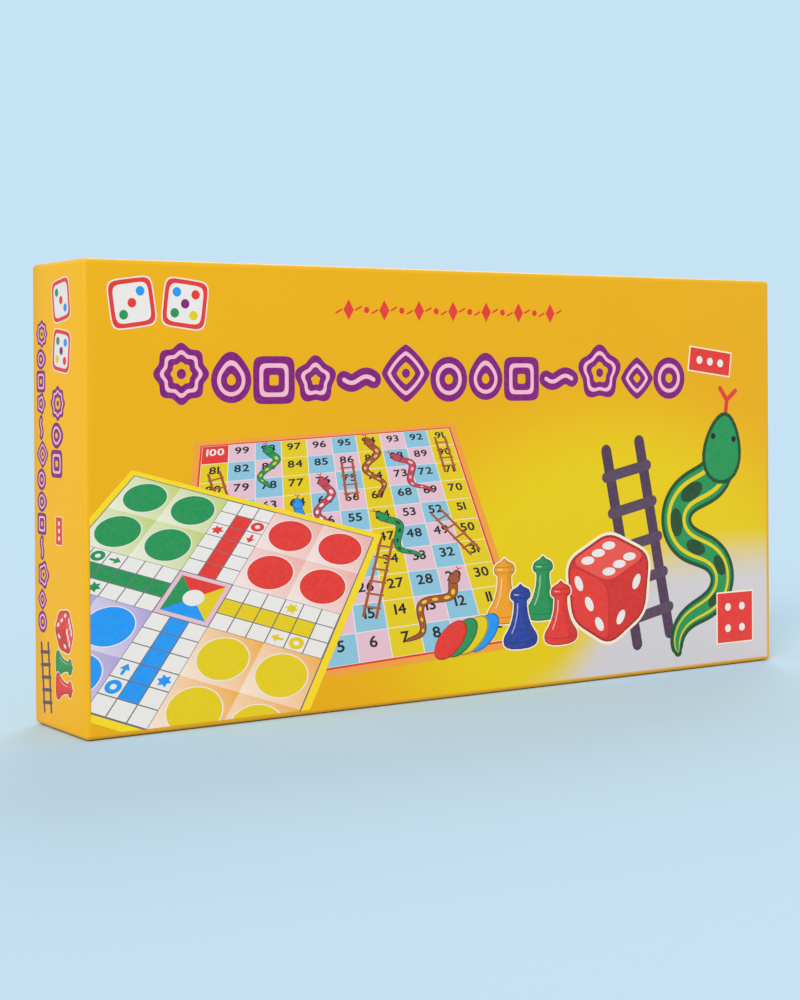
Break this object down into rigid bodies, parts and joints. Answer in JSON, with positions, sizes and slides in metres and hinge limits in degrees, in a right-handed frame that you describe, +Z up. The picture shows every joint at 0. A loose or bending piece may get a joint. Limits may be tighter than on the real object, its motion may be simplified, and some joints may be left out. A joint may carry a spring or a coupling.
{
  "type": "boxed snakes and ladders board game",
  "caption": "Closed card box of a ludo and snakes-and-ladders game on its long edge: lift-off lid, folding two-sided board, and pawns, counters and a die in a moulded insert.",
  "frame": {"origin": "middle of the long edge face that the closed box stands on", "axes": "+X along the box's length, -Y the way the lid's printed front faces, +Z up"},
  "size_m": [0.27, 0.037, 0.138],
  "materials": {
    "printed_card": "printed and varnished, semi-gloss",
    "base_card": "printed and varnished, semi-gloss",
    "greyboard": "bare, matt",
    "ludo_print": "printed and varnished, semi-gloss",
    "snakes_print": "printed and varnished, semi-gloss",
    "spine_paper": "matt",
    "insert_plastic": "thermoformed, satin to gloss",
    "red_plastic": "moulded, gloss",
    "green_plastic": "moulded, gloss",
    "yellow_plastic": "moulded, gloss",
    "blue_plastic": "moulded, gloss"
  },
  "bodies": {
    "base": {"base": "base_card", "insert": "insert_plastic"},
    "lid": {"lid": "printed_card"},
    "board_back": {"board_core_back": "greyboard", "ludo_sheet_back": "ludo_print", "snakes_sheet_back": "snakes_print"},
    "board_spine": {"board_spine": "spine_paper"},
    "board_front": {"board_core_front": "greyboard", "ludo_sheet_front": "ludo_print", "snakes_sheet_front": "snakes_print"},
    "pawn_red_1": {"pawn_red_1": "red_plastic"},
    "pawn_red_2": {"pawn_red_2": "red_plastic"},
    "pawn_red_3": {"pawn_red_3": "red_plastic"},
    "pawn_red_4": {"pawn_red_4": "red_plastic"},
    "pawn_green_1": {"pawn_green_1": "green_plastic"},
    "pawn_green_2": {"pawn_green_2": "green_plastic"},
    "pawn_green_3": {"pawn_green_3": "green_plastic"},
    "pawn_green_4": {"pawn_green_4": "green_plastic"},
    "pawn_yellow_1": {"pawn_yellow_1": "yellow_plastic"},
    "pawn_yellow_2": {"pawn_yellow_2": "yellow_plastic"},
    "pawn_yellow_3": {"pawn_yellow_3": "yellow_plastic"},
    "pawn_yellow_4": {"pawn_yellow_4": "yellow_plastic"},
    "pawn_blue_1": {"pawn_blue_1": "blue_plastic"},
    "pawn_blue_2": {"pawn_blue_2": "blue_plastic"},
    "pawn_blue_3": {"pawn_blue_3": "blue_plastic"},
    "pawn_blue_4": {"pawn_blue_4": "blue_plastic"},
    "counter_red": {"counter_red": "red_plastic"},
    "counter_green": {"counter_green": "green_plastic"},
    "counter_yellow": {"counter_yellow": "yellow_plastic"},
    "counter_blue": {"counter_blue": "blue_plastic"},
    "die": {"die": "red_plastic"}
  },
  "joints": [
    {"name": "lid_lift", "type": "slide", "parent": "base", "child": "lid", "axis": [0, -1, 0], "range_m": [0, 0.43]},
    {"name": "board_lift", "type": "slide", "parent": "base", "child": "board_spine", "axis": [0, -1, 0], "range_m": [0, 0.2205]},
    {"name": "back_fold", "type": "hinge", "parent": "board_spine", "child": "board_back", "pos_m": [0, -0.0134, 0.00295], "axis": [-1, 0, 0], "range_deg": [0, 90]},
    {"name": "front_fold", "type": "hinge", "parent": "board_spine", "child": "board_front", "pos_m": [0, -0.0159, 0.00295], "axis": [1, 0, 0], "range_deg": [0, 90]},
    {"name": "pawn_red_1_lift", "type": "slide", "parent": "base", "child": "pawn_red_1", "axis": [0, -1, 0], "range_m": [0, 0.021]},
    {"name": "pawn_red_2_lift", "type": "slide", "parent": "base", "child": "pawn_red_2", "axis": [0, -1, 0], "range_m": [0, 0.021]},
    {"name": "pawn_red_3_lift", "type": "slide", "parent": "base", "child": "pawn_red_3", "axis": [0, -1, 0], "range_m": [0, 0.021]},
    {"name": "pawn_red_4_lift", "type": "slide", "parent": "base", "child": "pawn_red_4", "axis": [0, -1, 0], "range_m": [0, 0.021]},
    {"name": "pawn_green_1_lift", "type": "slide", "parent": "base", "child": "pawn_green_1", "axis": [0, -1, 0], "range_m": [0, 0.021]},
    {"name": "pawn_green_2_lift", "type": "slide", "parent": "base", "child": "pawn_green_2", "axis": [0, -1, 0], "range_m": [0, 0.021]},
    {"name": "pawn_green_3_lift", "type": "slide", "parent": "base", "child": "pawn_green_3", "axis": [0, -1, 0], "range_m": [0, 0.021]},
    {"name": "pawn_green_4_lift", "type": "slide", "parent": "base", "child": "pawn_green_4", "axis": [0, -1, 0], "range_m": [0, 0.021]},
    {"name": "pawn_yellow_1_lift", "type": "slide", "parent": "base", "child": "pawn_yellow_1", "axis": [0, -1, 0], "range_m": [0, 0.021]},
    {"name": "pawn_yellow_2_lift", "type": "slide", "parent": "base", "child": "pawn_yellow_2", "axis": [0, -1, 0], "range_m": [0, 0.021]},
    {"name": "pawn_yellow_3_lift", "type": "slide", "parent": "base", "child": "pawn_yellow_3", "axis": [0, -1, 0], "range_m": [0, 0.021]},
    {"name": "pawn_yellow_4_lift", "type": "slide", "parent": "base", "child": "pawn_yellow_4", "axis": [0, -1, 0], "range_m": [0, 0.021]},
    {"name": "pawn_blue_1_lift", "type": "slide", "parent": "base", "child": "pawn_blue_1", "axis": [0, -1, 0], "range_m": [0, 0.021]},
    {"name": "pawn_blue_2_lift", "type": "slide", "parent": "base", "child": "pawn_blue_2", "axis": [0, -1, 0], "range_m": [0, 0.021]},
    {"name": "pawn_blue_3_lift", "type": "slide", "parent": "base", "child": "pawn_blue_3", "axis": [0, -1, 0], "range_m": [0, 0.021]},
    {"name": "pawn_blue_4_lift", "type": "slide", "parent": "base", "child": "pawn_blue_4", "axis": [0, -1, 0], "range_m": [0, 0.021]},
    {"name": "counter_red_lift", "type": "slide", "parent": "base", "child": "counter_red", "axis": [0, -1, 0], "range_m": [0, 0.021]},
    {"name": "counter_green_lift", "type": "slide", "parent": "base", "child": "counter_green", "axis": [0, -1, 0], "range_m": [0, 0.021]},
    {"name": "counter_yellow_lift", "type": "slide", "parent": "base", "child": "counter_yellow", "axis": [0, -1, 0], "range_m": [0, 0.021]},
    {"name": "counter_blue_lift", "type": "slide", "parent": "base", "child": "counter_blue", "axis": [0, -1, 0], "range_m": [0, 0.021]},
    {"name": "die_lift", "type": "slide", "parent": "base", "child": "die", "axis": [0, -1, 0], "range_m": [0, 0.021]}
  ],
  "couplings": [
    {"joint": "board_lift", "follows": "lid_lift", "ratio": 0.51163},
    {"joint": "back_fold", "follows": "lid_lift", "rad_per_m": 3.6529},
    {"joint": "front_fold", "follows": "lid_lift", "rad_per_m": 3.6529},
    {"joint": "pawn_red_1_lift", "follows": "lid_lift", "ratio": 0.04814},
    {"joint": "pawn_red_2_lift", "follows": "lid_lift", "ratio": 0.04814},
    {"joint": "pawn_red_3_lift", "follows": "lid_lift", "ratio": 0.04814},
    {"joint": "pawn_red_4_lift", "follows": "lid_lift", "ratio": 0.04814},
    {"joint": "pawn_green_1_lift", "follows": "lid_lift", "ratio": 0.04814},
    {"joint": "pawn_green_2_lift", "follows": "lid_lift", "ratio": 0.04814},
    {"joint": "pawn_green_3_lift", "follows": "lid_lift", "ratio": 0.04814},
    {"joint": "pawn_green_4_lift", "follows": "lid_lift", "ratio": 0.04814},
    {"joint": "pawn_yellow_1_lift", "follows": "lid_lift", "ratio": 0.04814},
    {"joint": "pawn_yellow_2_lift", "follows": "lid_lift", "ratio": 0.04814},
    {"joint": "pawn_yellow_3_lift", "follows": "lid_lift", "ratio": 0.04814},
    {"joint": "pawn_yellow_4_lift", "follows": "lid_lift", "ratio": 0.04814},
    {"joint": "pawn_blue_1_lift", "follows": "lid_lift", "ratio": 0.04814},
    {"joint": "pawn_blue_2_lift", "follows": "lid_lift", "ratio": 0.04814},
    {"joint": "pawn_blue_3_lift", "follows": "lid_lift", "ratio": 0.04814},
    {"joint": "pawn_blue_4_lift", "follows": "lid_lift", "ratio": 0.04814},
    {"joint": "counter_red_lift", "follows": "lid_lift", "ratio": 0.04814},
    {"joint": "counter_green_lift", "follows": "lid_lift", "ratio": 0.04814},
    {"joint": "counter_yellow_lift", "follows": "lid_lift", "ratio": 0.04814},
    {"joint": "counter_blue_lift", "follows": "lid_lift", "ratio": 0.04814},
    {"joint": "die_lift", "follows": "lid_lift", "ratio": 0.04814}
  ]
}
